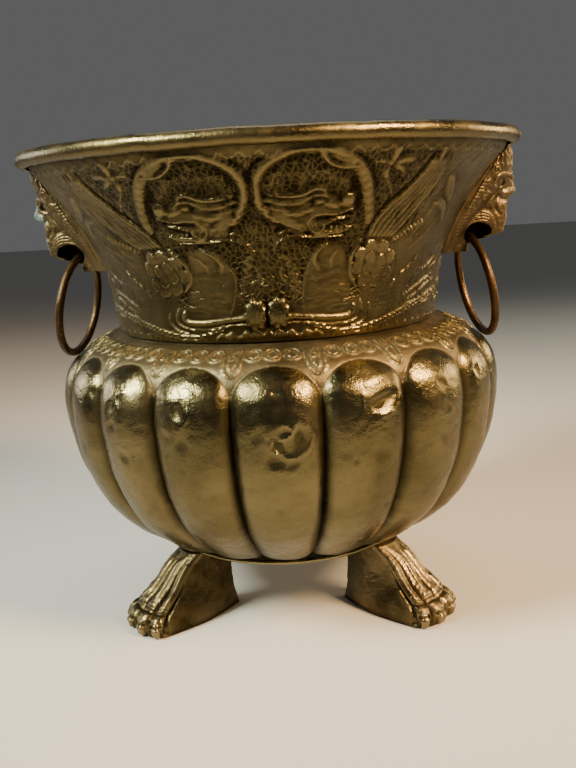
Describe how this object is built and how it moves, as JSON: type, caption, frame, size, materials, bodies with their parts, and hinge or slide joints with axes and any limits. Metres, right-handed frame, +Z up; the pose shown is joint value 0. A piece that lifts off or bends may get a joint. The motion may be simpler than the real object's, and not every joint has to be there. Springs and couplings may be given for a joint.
{
  "type": "planter pot",
  "caption": "Round footed planter pot with a flared neck, a lobed belly, paw feet and a loose ring handle hung from a mask on each side.",
  "frame": {"origin": "on the pot's vertical axis, at the floor under its feet", "axes": "+Z up along the pot's axis; -Y to the front, midway between the two front feet; +X to the right-hand mask and ring"},
  "size_m": [0.32, 0.32, 0.3048],
  "materials": {
    "sheet_brass": "satin, aged, brown in the recesses",
    "cast_brass": "satin, aged, darker patina",
    "ring_brass": "dull, copper-brown",
    "copper_rivet": "dull",
    "iron_fastener": "dull grey"
  },
  "bodies": {
    "pot": {"base_plate": "sheet_brass", "belly_shell": "sheet_brass", "foot_nut_front_left": "iron_fastener", "foot_nut_front_right": "iron_fastener", "foot_nut_rear": "iron_fastener", "foot_stud_front_left": "iron_fastener", "foot_stud_front_right": "iron_fastener", "foot_stud_rear": "iron_fastener", "foot_washer_front_left": "iron_fastener", "foot_washer_front_right": "iron_fastener", "foot_washer_rear": "iron_fastener", "lion_mask_left": "cast_brass", "lion_mask_right": "cast_brass", "mask_rivet_left_lower": "copper_rivet", "mask_rivet_left_upper": "copper_rivet", "mask_rivet_right_lower": "copper_rivet", "mask_rivet_right_upper": "copper_rivet", "mask_washer_left_lower": "copper_rivet", "mask_washer_left_upper": "copper_rivet", "mask_washer_right_lower": "copper_rivet", "mask_washer_right_upper": "copper_rivet", "neck_shell": "sheet_brass", "paw_foot_front_left": "cast_brass", "paw_foot_front_right": "cast_brass", "paw_foot_rear": "cast_brass", "rim_wire": "iron_fastener"},
    "ring_left": {"ring_handle_left": "ring_brass"},
    "ring_right": {"ring_handle_right": "ring_brass"}
  },
  "joints": [
    {"name": "ring_left_swing", "type": "hinge", "parent": "pot", "child": "ring_left", "pos_m": [-0.1275, 0, 0.2395], "axis": [0.1478, 0.989, 0], "range_deg": [0, 134]},
    {"name": "ring_right_swing", "type": "hinge", "parent": "pot", "child": "ring_right", "pos_m": [0.1275, 0, 0.2395], "axis": [0.1478, -0.989, 0], "range_deg": [0, 134]}
  ]
}
